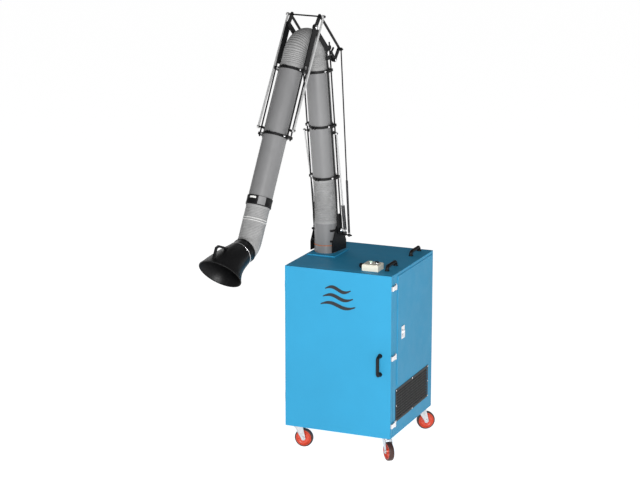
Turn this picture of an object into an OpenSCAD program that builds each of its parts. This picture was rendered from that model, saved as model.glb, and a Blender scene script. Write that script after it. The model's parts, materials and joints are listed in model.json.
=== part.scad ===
// Mobile fume extractor: a filter cabinet on swivel casters that carries a balanced extraction arm.
// Millimetres, +Z up. The origin is at floor level, under the centre of the cabinet.
// The front of the cabinet faces -Y.

/* [Cabinet] */
// Width of the cabinet
cab_w = 600; // [590:1:620]
// Depth of the cabinet, door included
cab_d = 620; // [610:1:640]
// Height of the cabinet without its casters
cab_h = 880; // [870:1:900]
// Sheet metal thickness
sheet = 2; // [1.5:0.1:2.5]
// Depth of the door
door_t = 30; // [26:1:34]

/* [Casters] */
// Wheel diameter
wheel_d = 100; // [90:1:104]
// Tread width of a wheel
wheel_w = 28; // [24:1:30]
// Height from the floor to the cabinet
ride_h = 128; // [126:1:136]
// Distance from a kingpin to its axle
caster_trail = 36; // [30:1:40]

/* [Arm] */
// Outer diameter of the ducts and hoses
duct_d = 125; // [124:0.5:125]
// Duct wall thickness
duct_wall = 1.5; // [1.2:0.1:2]
// Turn of the arm to the left of straight ahead, degrees
arm_turn = 9.6; // [0:0.2:30]
// Forward lean of the lower arm, degrees
lower_lean = 7; // [7:0.5:7]
// Forward swing of the outer arm from straight down, degrees
outer_lean = 25; // [25:0.5:25]
// Angle of the hood neck below horizontal, degrees
neck_drop = 15; // [12:1:18]
// Diameter of the frame rods
rod_d = 8; // [7:0.5:8]

/* [Hood] */
// Radius of the hood's rim
rim_r = 116; // [112:1:120]
// Angle of the hood's mouth below horizontal, degrees
mouth_drop = 44; // [40:1:48]

/* [Hidden] */
$fn = 64;

// Colours
blue = [0.16, 0.52, 0.80];
black = [0.07, 0.07, 0.08];
grey = [0.55, 0.55, 0.55];
steel = [0.78, 0.78, 0.80];
orange = [0.88, 0.30, 0.18];

// Cabinet levels and faces
x_r = cab_w / 2;
y_f = -cab_d / 2;
y_b = cab_d / 2;
z0 = ride_h;
z1 = ride_h + cab_h;
gap = 3;
y_door = y_f + door_t;
y_body = y_door + gap;
shelf_z = 400;
slit = 0.1;
pin_play = 0.05;

// Right side features
grille_y = [-240, 248];
grille_z = [200, 380];
panel_y = [-222, 300];
panel_z = [396, 990];
latch_z = [941, 566, 197];
latch_y = -252;
lock_pos = [-150, 672];

// Fan
fan_x = -20;
scroll_r = 150;
scroll_z = [214, 346];
shaft_r = 7;

// Casters: kingpin places and the headings of their trails, degrees
king_x = 255;
king_y = 250;
caster_ids = ["front_left", "front_right", "rear_left", "rear_right"];
caster_xy = [[-king_x, -king_y], [king_x, -king_y], [-king_x, king_y + 14], [king_x - 5, king_y + 14]];
caster_heading = [8, -47, 20, 35];
king_r = 6;
axle_r = 5;

// Arm: points are [forward, height above the cabinet top] in the plane of the arm
arm_xy = [-218, 50];
duct_r = duct_d / 2;
bore_r = duct_r - duct_wall;
spigot_r = 60;
shoulder = [-20, 127];
elbow = [233, 1244];
crank_tip = [196, 1296];
rocker_tip = [12, 1106];
rocker_pivot = rocker_tip - (crank_tip - elbow);
rear_eye = [-75, 90];
spring_eye = [-55, 105];
stud_r = 6;
// Side layers: distance of each from the plane of the arm
turret_plate_x = 66;
lower_plate_x = 73.5;
lower_rod_x = 76;
outer_plate_x = 82;
outer_rod_x = 84.5;
link_x = 90;
rear_rod_x = 100;
stay_x = 109;
plate_t = 5;
rod_gap = 16;
// Stations along the lower arm, measured from the shoulder
lower_rings = [295, 580, 880];
lower_tube_z = [288, 887];
lower_rod_z = [60, 1030];
spring_top = [9, 543];
// Distance of each balance spring from the plane of the arm: lower end, upper end
spring_x = [88, 101];
// Stations along the outer arm, measured from the elbow
outer_rings = [237, 589];
outer_tube_z = [230, 965];
outer_rod_z = [190, 604];
cuff_z = [917, 965];
stay_low = [-9, 553];
hood_pivot_z = 1178;
ring_w = 14;
ring_t = 3;
// Hose bends
elbow_bend = 105;
hood_bend = 80;
shoulder_bend = 500;
collar_top = 165;
// Hood
neck_len = 36;
rim_at = [978, 90];

function unit(a) = [sin(a), cos(a)];
lower_dir = unit(lower_lean);
outer_dir = [sin(outer_lean), -cos(outer_lean)];
neck_dir = [cos(neck_drop), -sin(neck_drop)];
function on_lower(s) = shoulder + s * lower_dir;
function on_outer(s) = elbow + s * outer_dir;
// Coordinates of an arm-plane point in the lower arm's own frame: [back, along]
function in_lower(p) = let (d = p - shoulder)
  [-(d[0] * lower_dir[1] - d[1] * lower_dir[0]), d * lower_dir];
// The elbow hose leaves each tube straight for a length that makes its arc close
elbow_from = on_lower(lower_tube_z[1]);
elbow_to = on_outer(outer_tube_z[0]);
arc_step = elbow_bend * [cos(lower_lean) + cos(outer_lean), sin(outer_lean) - sin(lower_lean)];
elbow_rest = elbow_to - elbow_from - arc_step;
elbow_det = lower_dir[0] * outer_dir[1] - lower_dir[1] * outer_dir[0];
elbow_a = (elbow_rest[0] * outer_dir[1] - elbow_rest[1] * outer_dir[0]) / elbow_det;
elbow_b = (lower_dir[0] * elbow_rest[1] - lower_dir[1] * elbow_rest[0]) / elbow_det;
elbow_turn = 180 - lower_lean - outer_lean;
shoulder_tangent = shoulder_bend * tan(lower_lean / 2);
shoulder_knee = shoulder[1] - shoulder[0] / tan(lower_lean);
hood_turn = 90 - outer_lean - neck_drop;
hood_tangent = hood_bend * tan(hood_turn / 2);
hood_pivot = on_outer(hood_pivot_z);
neck_from = hood_pivot + hood_tangent * neck_dir;

// ---- Helpers ----
module box(a, b) {
  translate(a) cube(b - a);
}
// Cylinder along X between two x values
module bar_x(x0, x1, r) {
  translate([x0, 0, 0]) rotate([0, 90, 0]) cylinder(r = r, h = x1 - x0);
}
// Flat strap in 2D from p to q, with round ends a little wider than the strap
module strap_2d(p, q, w) {
  d = q - p;
  body_w = w - 0.4;
  translate(p) circle(d = w);
  translate(q) circle(d = w);
  translate(p) rotate([0, 0, atan2(d[1], d[0])]) translate([0, -body_w / 2]) square([norm(d), body_w]);
}
// Puts a 2D outline drawn as [back, height] on edge, from x0 to x0 + t
module on_edge(x0, t) {
  translate([x0, 0, 0]) rotate([90, 0, 90]) linear_extrude(t) children();
}
// A copy on each side of the arm's plane
module both_sides() {
  children();
  mirror([1, 0, 0]) children();
}
// Frames of the arm
module arm() {
  translate([arm_xy[0], arm_xy[1], z1]) rotate([0, 0, -arm_turn]) children();
}
module at(p) {
  translate([0, -p[0], p[1]]) children();
}
module lower_frame_of() {
  arm() at(shoulder) rotate([lower_lean, 0, 0]) children();
}
module outer_frame_of() {
  arm() at(elbow) rotate([-outer_lean, 0, 0]) children();
}
module tube(r_out, r_in, h) {
  difference() {
    cylinder(r = r_out, h = h);
    translate([0, 0, -1]) cylinder(r = r_in, h = h + 2);
  }
}
// Quarter-round bow handle: feet at y = +-half, standing on z = 0
module bow(half, rise, r) {
  bend = 14;
  for (s = [-1, 1]) {
    translate([0, s * half, 0]) cylinder(r = r, h = rise - bend);
    translate([0, s * half, 0]) cylinder(r = r + 4, h = 4);
    translate([0, s * (half - bend), rise - bend]) rotate([0, -90, 0]) rotate([0, 0, s < 0 ? -90 : 0])
      rotate_extrude(angle = 90) translate([bend, 0]) circle(r = r);
  }
  translate([0, -(half - bend), rise]) rotate([-90, 0, 0]) cylinder(r = r, h = 2 * (half - bend));
}
// Bend of a hose: starts at the origin along +Z and turns forward (towards -Y)
module hose_bend(bend_r, turn) {
  translate([0, -bend_r, 0]) rotate([90, 0, 90]) rotate_extrude(angle = turn) translate([bend_r, 0])
    difference() {
      circle(r = duct_r);
      circle(r = bore_r);
    }
}

// ---- Cabinet ----
module cabinet_body() {
  color(blue) difference() {
    box([-x_r, y_body, z0], [x_r, y_b, z1 - sheet]);
    box([-x_r + sheet, y_body + sheet, z0 + sheet], [x_r - sheet, y_b - sheet, z1]);
    box([-x_r + 14, y_body - 1, z0 + 14], [x_r - 14, y_body + 3, z1 - 14]);
    box([x_r - 3, grille_y[0] + 14, grille_z[0] + 12], [x_r + 1, grille_y[1] - 14, grille_z[1] - 12]);
    box([x_r - 3, panel_y[0] + 14, panel_z[0] + 14], [x_r + 1, panel_y[1] - 14, panel_z[1] - 14]);
  }
}
module top_panel() {
  color(blue) difference() {
    box([-x_r, y_body, z1 - sheet], [x_r, y_b, z1]);
    translate([arm_xy[0], arm_xy[1], z1 - 5]) cylinder(r = duct_r + 0.5, h = 10);
  }
}
module side_panel() {
  color(blue) difference() {
    box([x_r, panel_y[0], panel_z[0]], [x_r + 3, panel_y[1], panel_z[1]]);
    box([x_r - 1, panel_y[0] + 2, panel_z[0] + 2], [x_r + 1.5, panel_y[1] - 2, panel_z[1] - 2]);
    translate([x_r, lock_pos[0], lock_pos[1]]) rotate([0, 90, 0]) cylinder(r = 6.5, h = 8, center = true);
  }
}
module filter_shelf() {
  color(grey) difference() {
    box([-x_r + sheet, y_body + 20, shelf_z - 3], [x_r - sheet, y_b - sheet, shelf_z]);
    translate([fan_x, 0, shelf_z - 5]) cylinder(r = 92, h = 10);
  }
}
module prefilter() {
  pleats = 14;
  x_in = 270;
  y_in = 262;
  step = 2 * x_in / pleats;
  color(grey) {
    difference() {
      box([-282, -262, 696], [282, 296, 744]);
      box([-x_in, -250, 695], [x_in, 284, 745]);
    }
    translate([0, 286, 702]) rotate([90, 0, 0]) linear_extrude(538) polygon(concat(
      [[-x_in - 2, 0], [x_in + 2, 0], [x_in + 2, 8]],
      [for (i = [2 * pleats - 1:-1:1]) [-x_in + i * step / 2, i % 2 == 1 ? 36 : 8]],
      [[-x_in - 2, 8]]));
  }
}
module main_filter() {
  color([0.85, 0.85, 0.82]) difference() {
    box([-282, -262, shelf_z], [282, 296, 695]);
    translate([fan_x, 17, shelf_z - 1]) cylinder(r = 95, h = 21);
    for (x = [-240:60:240]) box([x - 12, -240, 670], [x + 12, 274, 696]);
  }
}
module fan_scroll() {
  color(grey) {
    difference() {
      union() {
        translate([fan_x, 0, scroll_z[0]]) cylinder(r = scroll_r, h = scroll_z[1] - scroll_z[0]);
        box([fan_x, 0, scroll_z[0]], [x_r - 5, scroll_r, scroll_z[1]]);
      }
      translate([fan_x, 0, scroll_z[0] + 2]) cylinder(r = scroll_r - 2, h = scroll_z[1] - scroll_z[0] - 4);
      box([fan_x, 2, scroll_z[0] + 2], [x_r, scroll_r - 2, scroll_z[1] - 2]);
      translate([fan_x, 0, scroll_z[1] - 5]) cylinder(r = 90, h = 10);
      translate([fan_x, 0, scroll_z[0] - 1]) cylinder(r = 20, h = 5);
    }
    translate([fan_x, 0, scroll_z[1]]) tube(95, 90, shelf_z - 3 - scroll_z[1]);
  }
}
module fan_motor() {
  color(black) translate([fan_x, 0, z0 + sheet]) {
    cylinder(r = 72, h = scroll_z[0] - z0 - sheet);
    cylinder(r = shaft_r, h = 170);
    for (a = [45:90:315]) rotate([0, 0, a]) translate([60, -12, 0]) cube([28, 24, 4]);
  }
}
module fan_impeller() {
  blades = 16;
  color(steel) translate([fan_x, 0, 236]) difference() {
    union() {
      cylinder(r = 118, h = 2);
      translate([0, 0, 2]) cylinder(r = 18, h = 44);
      for (i = [0:blades - 1]) rotate([0, 0, i * 360 / blades])
        translate([70, 0, 1]) rotate([0, 0, 25]) cube([44, 2, 80]);
      translate([0, 0, 80]) tube(118, 78, 2);
    }
    translate([0, 0, -1]) cylinder(r = shaft_r + pin_play, h = 60);
  }
}
module outlet_grille() {
  margin = 12;
  pitch = 15.5;
  y_a = grille_y[0] + margin;
  y_c = grille_y[1] - margin;
  z_a = grille_z[0] + margin;
  z_c = grille_z[1] - margin;
  rows = floor((z_c - z_a) / pitch);
  color(black) {
    difference() {
      box([x_r, grille_y[0], grille_z[0]], [x_r + 2, grille_y[1], grille_z[1]]);
      box([x_r - 1, y_a, z_a], [x_r + 3, y_c, z_c]);
    }
    difference() {
      union() {
        for (i = [0:rows]) box([x_r, y_a, z_a + i * pitch - 2], [x_r + 1.5, y_c, z_a + i * pitch + 3.5]);
        for (y = [y_a:(y_c - y_a) / 6:y_c]) box([x_r, y - 3, z_a], [x_r + 1.5, y + 3, z_c]);
      }
      box([x_r - 1, y_a - 20, z_a - 20], [x_r + 3, y_c + 20, z_a]);
      box([x_r - 1, y_a - 20, z_c], [x_r + 3, y_c + 20, z_c + 20]);
      box([x_r - 1, y_a - 20, z_a - 20], [x_r + 3, y_a, z_c + 20]);
      box([x_r - 1, y_c, z_a - 20], [x_r + 3, y_c + 20, z_c + 20]);
    }
  }
}
module grille_screws() {
  inset = 6;
  mid_y = (grille_y[0] + grille_y[1]) / 2;
  mid_z = (grille_z[0] + grille_z[1]) / 2;
  color(steel) {
    for (y = [grille_y[0] + inset, mid_y, grille_y[1] - inset], z = [grille_z[0] + inset, grille_z[1] - inset])
      translate([0, y, z]) bar_x(x_r + 2, x_r + 4, 4);
    for (y = [grille_y[0] + inset, grille_y[1] - inset]) translate([0, y, mid_z]) bar_x(x_r + 2, x_r + 4, 4);
  }
}
module arm_base_plate() {
  w = 160;
  d = 205;
  shift = 13;
  color(blue) translate([arm_xy[0], arm_xy[1], z1]) difference() {
    translate([shift - w / 2, -d / 2, 0]) cube([w, d, 6]);
    translate([0, 0, -1]) cylinder(r = duct_r + slit, h = 10);
  }
}
module inlet_duct() {
  color(steel) translate([arm_xy[0], arm_xy[1], z1]) {
    difference() {
      union() {
        translate([0, 0, -60]) cylinder(r = duct_r, h = 106);
        translate([0, 0, 46]) cylinder(r = spigot_r, h = 44);
      }
      translate([0, 0, -61]) cylinder(r = spigot_r - 1.5, h = 160);
    }
  }
}
module swivel_seal() {
  color([0.72, 0.38, 0.18]) translate([arm_xy[0], arm_xy[1], z1 + 46]) tube(duct_r + 1.5, spigot_r + 0.2, 4);
}
module switch_box() {
  color([0.90, 0.88, 0.80]) difference() {
    union() {
      box([112, -252, z1], [202, -172, z1 + 30]);
      box([114, -250, z1 + 30], [200, -174, z1 + 34]);
    }
    box([115, -249, z1 + 3], [199, -175, z1 + 30]);
    translate([142, -200, z1 + 20]) cylinder(r = 9.3, h = 20);
    translate([176, -200, z1 + 20]) cylinder(r = 9.3, h = 20);
    translate([0, -212, z1 + 17]) bar_x(100, 120, 6);
  }
}
module cable_gland() {
  color(black) translate([0, -212, z1 + 17]) difference() {
    union() {
      bar_x(104, 111.9, 14.5);
      bar_x(88, 104, 13);
      bar_x(84, 88, 8.5);
    }
    bar_x(80, 120, 5);
  }
}
module button(x, tint) {
  color(tint) translate([x, -200, z1 + 24]) {
    cylinder(r = 9, h = 19);
    translate([0, 0, -2]) cylinder(r = 12, h = 2);
  }
}
module start_button() {
  button(142, [0.75, 0.88, 0.78]);
}
module stop_button() {
  button(176, black);
}
module top_handles() {
  color(black) for (y = [-145, 205]) translate([235, y, z1]) bow(62, 23, 9);
}
module door_gasket() {
  color(black) difference() {
    box([-x_r + 1, y_door, z0 + 1], [x_r - 1, y_body, z1 - sheet - 1]);
    box([-x_r + 13, y_door - 1, z0 + 13], [x_r - 13, y_body + 1, z1 - sheet - 13]);
  }
}

// ---- Door, hinges and latches ----
hinge_x = -x_r - 7;
hinge_r = 6.5;
hinge_z = [250, 860];
module hinge_pins() {
  color(steel) for (z = hinge_z) {
    translate([hinge_x, y_door, z]) cylinder(r = hinge_r, h = 30);
    translate([hinge_x, y_door, z + 30]) cylinder(r = 3, h = 30);
    box([-x_r - 2, y_door + 3, z], [-x_r, y_door + 32, z + 30]);
    box([-x_r - 5, y_door + 3, z], [-x_r - 2, y_door + 5.5, z + 30]);
  }
}
module door_panel() {
  color(blue) difference() {
    box([-x_r, y_f, z0], [x_r, y_door, z1]);
    box([-x_r + sheet, y_f + sheet, z0 + sheet], [x_r - sheet, y_door - sheet, z1 - sheet]);
    box([-x_r + 16, y_door - 5, z0 + 16], [x_r - 16, y_door + 5, z1 - 16]);
  }
}
module door_fittings() {
  color(steel) {
    for (z = hinge_z) difference() {
      union() {
        translate([hinge_x, y_door, z + 30.3]) cylinder(r = hinge_r, h = 30);
        box([-x_r - 2, y_door - 30, z + 30.3], [-x_r, y_door - 2, z + 60.3]);
        box([-x_r - 5, y_door - 5.5, z + 30.3], [-x_r - 2, y_door - 3, z + 60.3]);
      }
      translate([hinge_x, y_door, z + 29]) cylinder(r = 3 + pin_play, h = 33);
    }
    for (z = latch_z) box([x_r, y_f + 2, z - 12], [x_r + 3.5, y_f + 24, z + 12]);
  }
}
module door_handle() {
  color(black) translate([240, y_f, 527]) rotate([90, 0, 0]) bow(50, 36, 8.5);
}
module latch_bases() {
  color(steel) {
    for (z = latch_z) {
      box([x_r, latch_y - 18, z - 14], [x_r + 2, latch_y + 8, z + 14]);
      translate([x_r + 6, latch_y, z - 17]) cylinder(r = 2.5, h = 34);
      for (s = [-1, 1]) box([x_r + 2, latch_y - 2.5, z + s * 14.5 - 1.5], [x_r + 6, latch_y + 2.5, z + s * 14.5 + 1.5]);
    }
    translate([0, lock_pos[0], lock_pos[1]]) {
      difference() {
        translate([x_r + 3, -22, -34]) cube([3, 44, 68]);
        bar_x(x_r, x_r + 10, 6.5);
      }
    }
  }
}
module latch(z) {
  color(steel) difference() {
    union() {
      box([x_r + 5, y_f + 2, z - 12], [x_r + 8.5, latch_y, z + 12]);
      translate([x_r + 6, latch_y, z - 12]) cylinder(r = 3.7, h = 24);
      translate([x_r + 8, y_f + 4, z - 12]) cylinder(r = 2.5, h = 24);
    }
    translate([x_r + 6, latch_y, z - 20]) cylinder(r = 2.5 + pin_play, h = 40);
    box([x_r - 5, latch_y - 40, z - 20], [x_r + 2.2, latch_y + 40, z + 20]);
  }
}
module latch_top() {
  latch(latch_z[0]);
}
module latch_middle() {
  latch(latch_z[1]);
}
module latch_bottom() {
  latch(latch_z[2]);
}
module panel_lock() {
  color(steel) translate([0, lock_pos[0], lock_pos[1]]) {
    bar_x(x_r - 8, x_r + 12, 6.5 - pin_play);
    box([x_r + 8, -6, -26], [x_r + 14, 6, 12]);
    box([x_r - 8, -5, -34], [x_r - 4, 5, 4]);
  }
}

// ---- Casters ----
module caster_plates() {
  color(steel) for (p = caster_xy) translate([p[0], p[1], 0]) {
    translate([-38, -38, z0 - 3]) cube([76, 76, 3]);
    translate([0, 0, z0 - 10]) cylinder(r = 22, h = 7);
    translate([0, 0, z0 - 21]) cylinder(r = king_r, h = 12);
    translate([0, 0, z0 - 21]) cylinder(r = 9, h = 2.5);
  }
}
module at_caster(i) {
  translate([caster_xy[i][0], caster_xy[i][1], 0]) rotate([0, 0, caster_heading[i]]) children();
}
module fork(i) {
  crown_z = z0 - 18;
  half = wheel_w / 2 + 3;
  color(steel) at_caster(i) {
    difference() {
      union() {
        translate([0, 0, crown_z]) cylinder(r = 24, h = 7.5);
        translate([0, -half - 3, crown_z]) cube([34, 2 * half + 6, 3]);
        for (s = [0, 1]) mirror([0, s, 0]) translate([0, half + 3, 0]) rotate([90, 0, 0]) linear_extrude(3) {
          polygon([[-14, crown_z + 3], [34, crown_z + 3], [caster_trail + 12, wheel_d / 2], [caster_trail - 12, wheel_d / 2]]);
          translate([caster_trail, wheel_d / 2]) circle(r = 12);
        }
      }
      translate([0, 0, crown_z - 5]) cylinder(r = king_r + pin_play, h = 20);
      translate([0, 0, crown_z - 5]) cylinder(r = 11, h = 7);
    }
    translate([caster_trail, -half - 8, wheel_d / 2]) rotate([-90, 0, 0]) cylinder(r = axle_r, h = 2 * half + 16);
    for (s = [0, 1]) mirror([0, s, 0]) translate([caster_trail, half + 3, wheel_d / 2])
      rotate([-90, 0, 0]) cylinder(r = 9, h = 4, $fn = 6);
  }
}
module wheel(i) {
  color(orange) at_caster(i) translate([caster_trail, 0, wheel_d / 2]) rotate([90, 0, 0])
    rotate_extrude() polygon([[axle_r + pin_play, -wheel_w / 2 - 2], [12, -wheel_w / 2 - 2], [14, -6], [33, -6],
      [38, -wheel_w / 2], [wheel_d / 2 - 2, -wheel_w / 2], [wheel_d / 2, -wheel_w / 2 + 4],
      [wheel_d / 2, wheel_w / 2 - 4], [wheel_d / 2 - 2, wheel_w / 2], [38, wheel_w / 2], [33, 6], [14, 6],
      [12, wheel_w / 2 + 2], [axle_r + pin_play, wheel_w / 2 + 2]]);
}
module fork_front_left() {
  fork(0);
}
module fork_front_right() {
  fork(1);
}
module fork_rear_left() {
  fork(2);
}
module fork_rear_right() {
  fork(3);
}
module wheel_front_left() {
  wheel(0);
}
module wheel_front_right() {
  wheel(1);
}
module wheel_rear_left() {
  wheel(2);
}
module wheel_rear_right() {
  wheel(3);
}

// ---- Turret and shoulder ----
module turret_collar() {
  color(grey) arm() translate([0, 0, 50.2]) tube(duct_r, spigot_r + pin_play, collar_top - 50.2);
}
module turret_frame() {
  color(black) arm() difference() {
    union() {
      both_sides() {
        on_edge(turret_plate_x, plate_t) {
          strap_2d([-shoulder[0], shoulder[1]], [20, 110], 60);
          polygon([[-46, 12], [92, 12], [92, 60], [50, 140], [-10, 140], [-46, 60]]);
          translate([-rear_eye[0], rear_eye[1]]) circle(r = 14);
        }
        box([50, -40, 66], [turret_plate_x, 40, 76]);
        box([50, -40, 124], [turret_plate_x, 40, 134]);
        at(shoulder) {
          bar_x(turret_plate_x + plate_t, 84, stud_r);
          bar_x(79.5, 86, 10);
        }
        at(spring_eye) bar_x(turret_plate_x + plate_t, 96, 4);
      }
      at(rear_eye) bar_x(turret_plate_x + plate_t, rear_rod_x + 16, 4);
    }
    translate([0, 0, 50]) cylinder(r = duct_r, h = 150);
  }
}
module shoulder_hose() {
  knee = shoulder_knee - shoulder_tangent;
  color(grey) arm() {
    translate([0, 0, collar_top]) tube(duct_r, bore_r, knee - collar_top - slit);
    translate([0, 0, knee]) hose_bend(shoulder_bend, lower_lean);
  }
  color(grey) lower_frame_of() {
    start = norm([0, shoulder_knee] - shoulder) + shoulder_tangent;
    translate([0, 0, start + slit]) tube(duct_r, bore_r, lower_tube_z[0] - start - slit);
  }
}

// ---- Lower arm ----
module lower_tube() {
  color(grey) lower_frame_of() translate([0, 0, lower_tube_z[0]])
    tube(duct_r, bore_r, lower_tube_z[1] - lower_tube_z[0]);
}
module lower_frame() {
  e = in_lower(elbow);
  k = in_lower(rocker_pivot);
  head = lower_rod_z[1] - 30;
  knee = head - 50;
  color(black) lower_frame_of() both_sides() {
    for (y = [-rod_gap, rod_gap]) translate([lower_rod_x, y, lower_rod_z[0]])
      cylinder(d = rod_d, h = lower_rod_z[1] - lower_rod_z[0]);
    on_edge(lower_plate_x, plate_t) {
      difference() {
        strap_2d([0, 0], [0, 70], 44);
        circle(r = stud_r + pin_play);
      }
      strap_2d([-rod_gap, head], [rod_gap, head], 26);
      strap_2d([-6, head - 2], e, 29);
      strap_2d([-rod_gap, knee], [rod_gap, knee], 22);
      strap_2d([rod_gap - 3, knee - 1], k, 23);
    }
    translate([0, e[0], e[1]]) {
      bar_x(lower_plate_x + plate_t, 92, stud_r);
      bar_x(88, 92, 10);
    }
    translate([0, k[0], k[1]]) {
      bar_x(lower_plate_x + plate_t, 92, stud_r);
      bar_x(88, 92, 9);
    }
    translate([0, -spring_top[0], spring_top[1]]) {
      bar_x(lower_rod_x, 107, 4);
      translate([lower_rod_x - 2, -10, -8]) cube([4, 28 + spring_top[0], 16]);
    }
  }
}
// A ring clamp with a lug on each side that holds the two frame rods
module clamp(rod_x, along) {
  translate([0, 0, along - ring_w / 2]) difference() {
    union() {
      cylinder(r = duct_r + ring_t, h = ring_w);
      both_sides() translate([55, -rod_gap - 8, 0]) cube([rod_x + 7 - 55, 2 * rod_gap + 16, ring_w]);
      translate([-11, -duct_r - ring_t - 11, 0]) cube([7, 14, ring_w]);
      translate([4, -duct_r - ring_t - 11, 0]) cube([7, 14, ring_w]);
    }
    translate([0, 0, -1]) cylinder(r = duct_r + pin_play, h = ring_w + 2);
    for (x = [-rod_x, rod_x], y = [-rod_gap, rod_gap]) translate([x, y, -1])
      cylinder(d = rod_d + 2 * pin_play, h = ring_w + 2);
  }
  translate([0, -duct_r - ring_t - 5, along]) bar_x(-4, 4, 2.5);
}
module lower_clamps() {
  color(black) lower_frame_of() for (z = lower_rings) clamp(lower_rod_x, z);
}
module balance_springs() {
  top = on_lower(spring_top[1]) + spring_top[0] * [lower_dir[1], -lower_dir[0]];
  run = top - spring_eye;
  length = norm(run);
  coil = 140;
  color(steel) arm() both_sides() at(spring_eye) translate([spring_x[0], 0, 0])
    rotate([atan2(run[0], run[1]), 0, 0]) rotate([0, atan2(spring_x[1] - spring_x[0], length), 0]) difference() {
      union() {
        bar_x(-5, 5, 9);
        translate([0, 0, 6]) cylinder(r = 4, h = length - 12);
        translate([0, 0, 20]) cylinder(r = 10.5, h = coil);
        translate([0, 0, length]) bar_x(-5, 5, 9);
      }
      bar_x(-20, 20, 4.4);
      translate([0, 0, length]) bar_x(-20, 20, 4.4);
    }
}
module elbow_hose() {
  color(grey) {
    lower_frame_of() {
      translate([0, 0, lower_tube_z[1]]) tube(duct_r, bore_r, elbow_a);
      translate([0, 0, lower_tube_z[1] + elbow_a]) hose_bend(elbow_bend, elbow_turn);
    }
    outer_frame_of() translate([0, 0, -outer_tube_z[0]]) tube(duct_r, bore_r, elbow_b);
  }
}

// ---- Outer arm ----
function in_outer(p) = let (d = p - elbow)
  [-(d[0] * -outer_dir[1] + d[1] * outer_dir[0]), -(d * outer_dir)];
module outer_tube() {
  color(grey) outer_frame_of() translate([0, 0, -outer_tube_z[1]])
    tube(duct_r, bore_r, outer_tube_z[1] - outer_tube_z[0]);
}
module outer_frame() {
  tip = in_outer(crank_tip);
  color(black) outer_frame_of() both_sides() {
    for (y = [-rod_gap, rod_gap]) translate([outer_rod_x, y, -outer_rod_z[1]])
      cylinder(d = rod_d, h = outer_rod_z[1] - outer_rod_z[0]);
    on_edge(outer_plate_x, plate_t) difference() {
      union() {
        strap_2d([0, 0], tip, 26);
        strap_2d([0, 0], [0, -outer_rod_z[0]], 40);
      }
      circle(r = stud_r + pin_play);
      translate(tip) circle(r = rod_d / 2 + pin_play);
    }
    on_edge(outer_plate_x, plate_t) strap_2d([-rod_gap, -stay_low[1]], [rod_gap, -stay_low[1]], 12);
    translate([0, stay_low[0], -stay_low[1]]) bar_x(outer_plate_x + plate_t, stay_x + 8, 4);
  }
}
module outer_clamps() {
  color(black) outer_frame_of() for (z = outer_rings) clamp(outer_rod_x, -z);
}
module elbow_crossbar() {
  color(black) arm() at(crank_tip) {
    bar_x(-stay_x - 10, stay_x + 10, rod_d / 2);
    both_sides() bar_x(stay_x + 7, stay_x + 10, 6.5);
  }
}
module stay_rods() {
  tip = in_outer(crank_tip);
  low = [stay_low[0], -stay_low[1]];
  run = tip - low;
  length = norm(run);
  color(steel) outer_frame_of() both_sides() translate([stay_x, low[0], low[1]])
    rotate([-atan2(run[0], run[1]), 0, 0]) difference() {
      union() {
        cylinder(r = 5.5, h = length);
        bar_x(-5, 5, 9);
        translate([0, 0, length]) bar_x(-5, 5, 9);
      }
      bar_x(-10, 10, 4.15);
      translate([0, 0, length]) bar_x(-10, 10, 4.15);
    }
}
module hose_cuff() {
  color(black) outer_frame_of() {
    translate([0, 0, -cuff_z[1]]) tube(duct_r + 4, duct_r + pin_play, cuff_z[1] - cuff_z[0]);
    difference() {
      union() {
        translate([0, 0, -cuff_z[1] - 6]) intersection() {
          cylinder(r = bore_r - 1, h = 6);
          translate([-100, -10, 0]) cube([200, 20, 6]);
        }
        on_edge(-2, 4) strap_2d([0, -cuff_z[1] - 3], [0, -hood_pivot_z], 20);
        translate([0, 0, -hood_pivot_z]) bar_x(-11, 11, 4);
      }
      translate([0, 0, -cuff_z[1] - 3]) translate([-bore_r - 5, -20, -3.5]) cube([6, 40, 8]);
    }
  }
}

// ---- Rocker, links and rear rod ----
module rocker() {
  hook_low = [-82, 1098];
  hook_end = [-64, 1117];
  pivot = [-rocker_pivot[0], rocker_pivot[1]];
  color(black) arm() {
    both_sides() on_edge(outer_plate_x, plate_t) difference() {
      union() {
        strap_2d(pivot, [-rocker_tip[0], rocker_tip[1]], 24);
        strap_2d(pivot + [2, -1], hook_low, 16);
        strap_2d(hook_low + [-1, 1], hook_end, 12);
      }
      translate(pivot) circle(r = stud_r + pin_play);
    }
    at(rocker_tip) {
      bar_x(outer_plate_x + 2, outer_plate_x + 30, rod_d / 2);
      bar_x(-100, -outer_plate_x - 2, rod_d / 2);
    }
  }
}
module top_links() {
  color(black) arm() both_sides() on_edge(link_x, 4) difference() {
    strap_2d([-crank_tip[0], crank_tip[1]], [-rocker_tip[0], rocker_tip[1]], 15);
    translate([-crank_tip[0], crank_tip[1]]) circle(r = rod_d / 2 + pin_play);
    translate([-rocker_tip[0], rocker_tip[1]]) circle(r = rod_d / 2 + 0.6);
  }
}
rear_run = rocker_tip - rear_eye;
rear_lean = atan2(rear_run[0], rear_run[1]);
rear_len = norm(rear_run);
rod_len = 760;
module rear_rod() {
  color(black) arm() at(rocker_tip) rotate([rear_lean, 0, 0]) translate([rear_rod_x, 0, 0]) difference() {
    union() {
      bar_x(-4, 4, 9);
      translate([0, 0, -rod_len]) cylinder(r = 3.5, h = rod_len);
    }
    bar_x(-10, 10, rod_d / 2 + pin_play);
  }
}
module rear_spring() {
  spring_len = rear_len - rod_len + 46;
  color(black) arm() at(rear_eye) rotate([rear_lean, 0, 0]) translate([rear_rod_x, 0, 0]) difference() {
    union() {
      bar_x(-5, 5, 9);
      cylinder(r = 6.5, h = spring_len);
    }
    bar_x(-20, 20, 4 + pin_play);
    translate([0, 0, 14]) cylinder(r = 5, h = spring_len);
  }
}

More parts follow.
